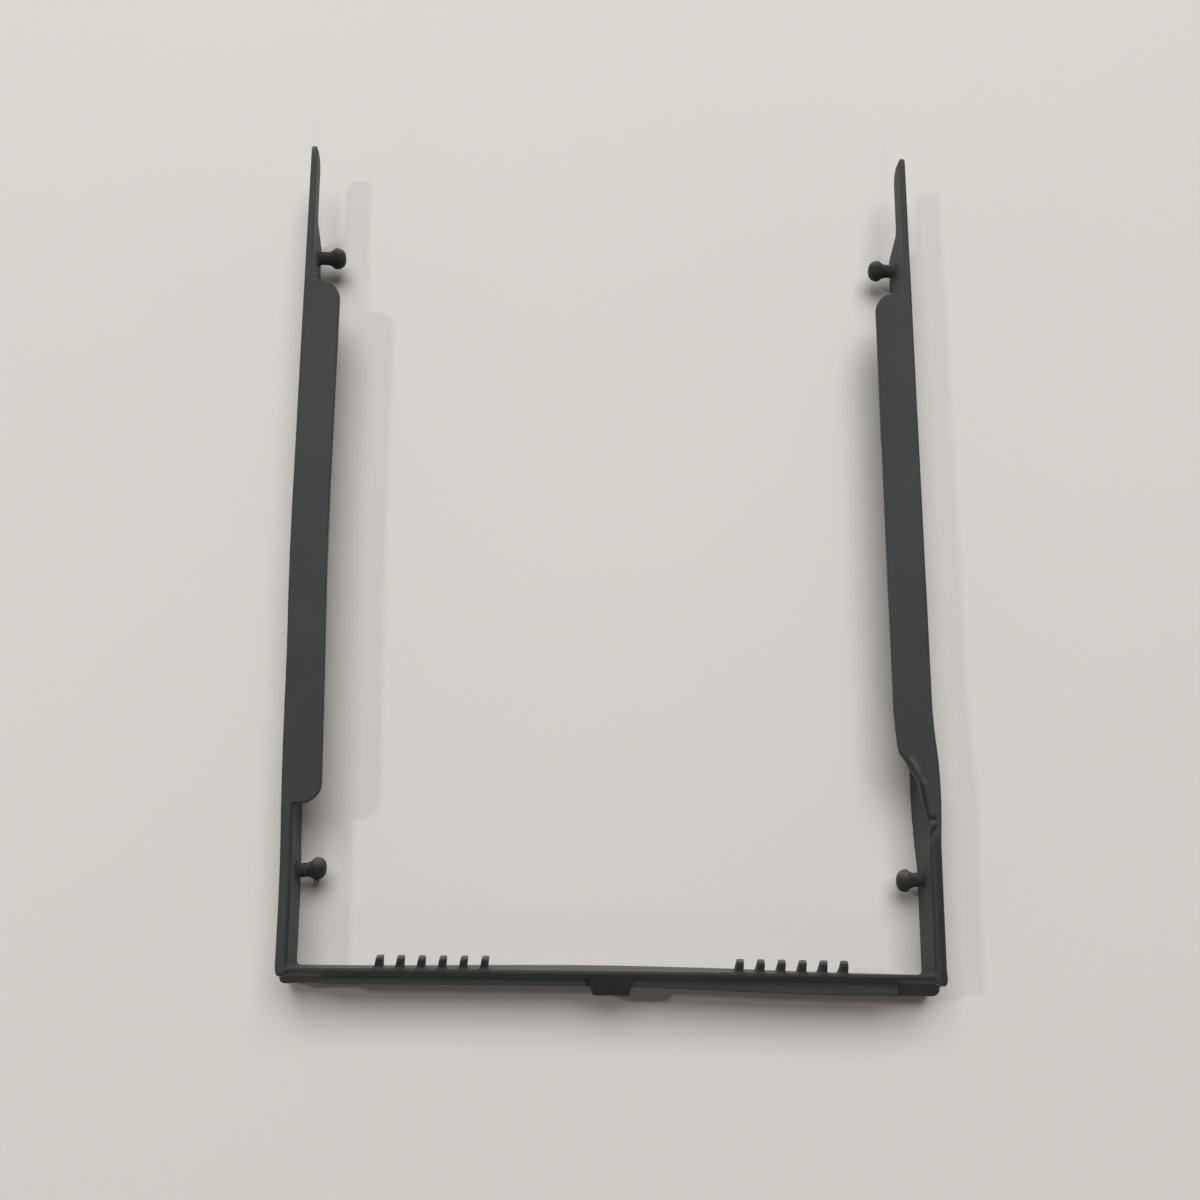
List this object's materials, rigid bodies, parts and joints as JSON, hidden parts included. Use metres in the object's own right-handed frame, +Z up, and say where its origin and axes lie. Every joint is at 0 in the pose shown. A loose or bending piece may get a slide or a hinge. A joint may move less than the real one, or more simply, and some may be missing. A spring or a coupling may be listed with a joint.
{
  "type": "hard drive caddy",
  "caption": "U-shaped soft rubber caddy for a slim laptop hard drive: pegs press into the drive's side screw holes, flanges lap over its top and small ribs cushion its end.",
  "frame": {"origin": "bottom centre of the outline, on the surface the caddy lies on", "axes": "+X across from the left arm to the right arm, +Y from the bar to the arm tips, +Z up"},
  "size_m": [0.0762, 0.1032, 0.008],
  "materials": {
    "black_rubber": "matte moulded rubber, faint sheen on worn edges"
  },
  "bodies": {
    "root": {"caddy_frame": "black_rubber"}
  },
  "joints": []
}
